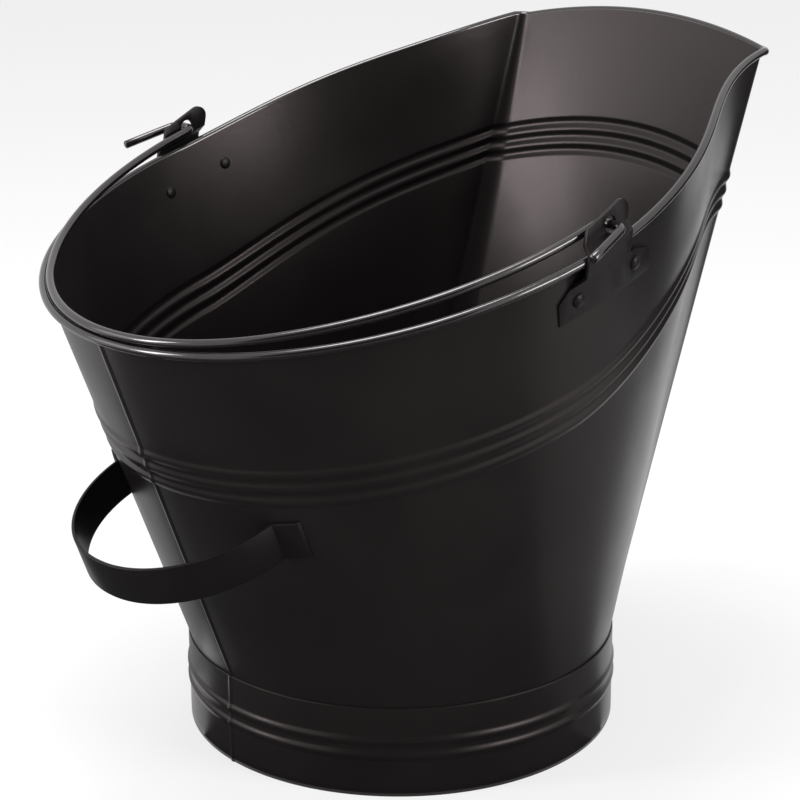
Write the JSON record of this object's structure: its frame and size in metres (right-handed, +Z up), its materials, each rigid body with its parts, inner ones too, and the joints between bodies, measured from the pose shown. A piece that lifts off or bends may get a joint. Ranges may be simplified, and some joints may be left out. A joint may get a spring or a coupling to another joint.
{
  "type": "ash bucket",
  "caption": "Sheet-steel ash and coal bucket with a wide pouring spout, beaded flared body on a foot ring, swinging wire bail and a strap tipping handle.",
  "frame": {"origin": "centre of the foot ring on the floor", "axes": "+X towards the spout, +Y to the left side, +Z up"},
  "size_m": [0.4425, 0.4004, 0.4038],
  "materials": {
    "sheet_black": "satin black paint",
    "wire_black": "semi-gloss black paint",
    "fitting_black": "satin black paint"
  },
  "bodies": {
    "bucket": {"body_wall": "sheet_black", "rim_wire": "wire_black", "foot_ring": "sheet_black", "bottom_pan": "sheet_black", "left_ear": "fitting_black", "right_ear": "fitting_black", "ear_rivets": "fitting_black", "tipping_handle": "fitting_black"},
    "bail": {"bail_handle": "wire_black"}
  },
  "joints": [
    {"name": "bail_swing", "type": "hinge", "parent": "bucket", "child": "bail", "pos_m": [-0.01518, 0, 0.33679], "axis": [0, 1, 0], "range_deg": [0, 184]}
  ]
}
